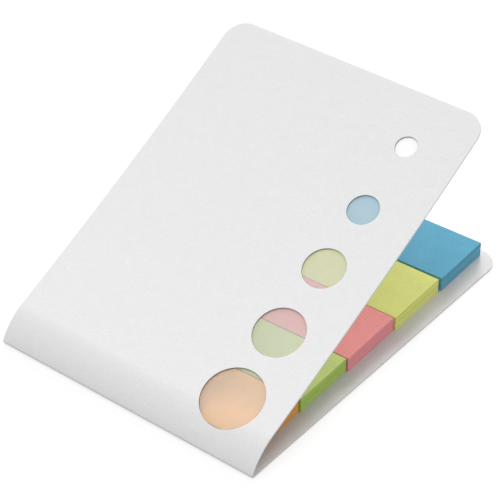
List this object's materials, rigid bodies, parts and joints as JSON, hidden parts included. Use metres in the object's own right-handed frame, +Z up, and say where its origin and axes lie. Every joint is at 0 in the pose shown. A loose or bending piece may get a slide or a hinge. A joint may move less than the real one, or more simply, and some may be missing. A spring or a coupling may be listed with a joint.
{
  "type": "folded card of sticky note markers",
  "caption": "White folded card with a soft spine, round windows backed with film in its half-open front leaf, and pads of coloured note markers side by side inside.",
  "frame": {"origin": "under the middle of the lower leaf, on the surface it rests on", "axes": "+X across the card, along the crease; +Y from the crease to the lower leaf's free edge; +Z up"},
  "size_m": [0.06, 0.0802, 0.0382],
  "materials": {
    "white_card": "smooth uncoated white card",
    "clear_film": "thin translucent film, slightly frosted",
    "blue_paper": "matte note paper, cut edges a little darker",
    "yellow_paper": "matte note paper, cut edges a little darker",
    "pink_paper": "matte note paper, cut edges a little darker",
    "green_paper": "matte note paper, cut edges a little darker",
    "orange_paper": "matte note paper, cut edges a little darker"
  },
  "bodies": {
    "root": {"cover": "white_card", "window_film": "clear_film", "pad_blue": "blue_paper", "pad_yellow": "yellow_paper", "pad_pink": "pink_paper", "pad_green": "green_paper", "pad_orange": "orange_paper"}
  },
  "joints": []
}
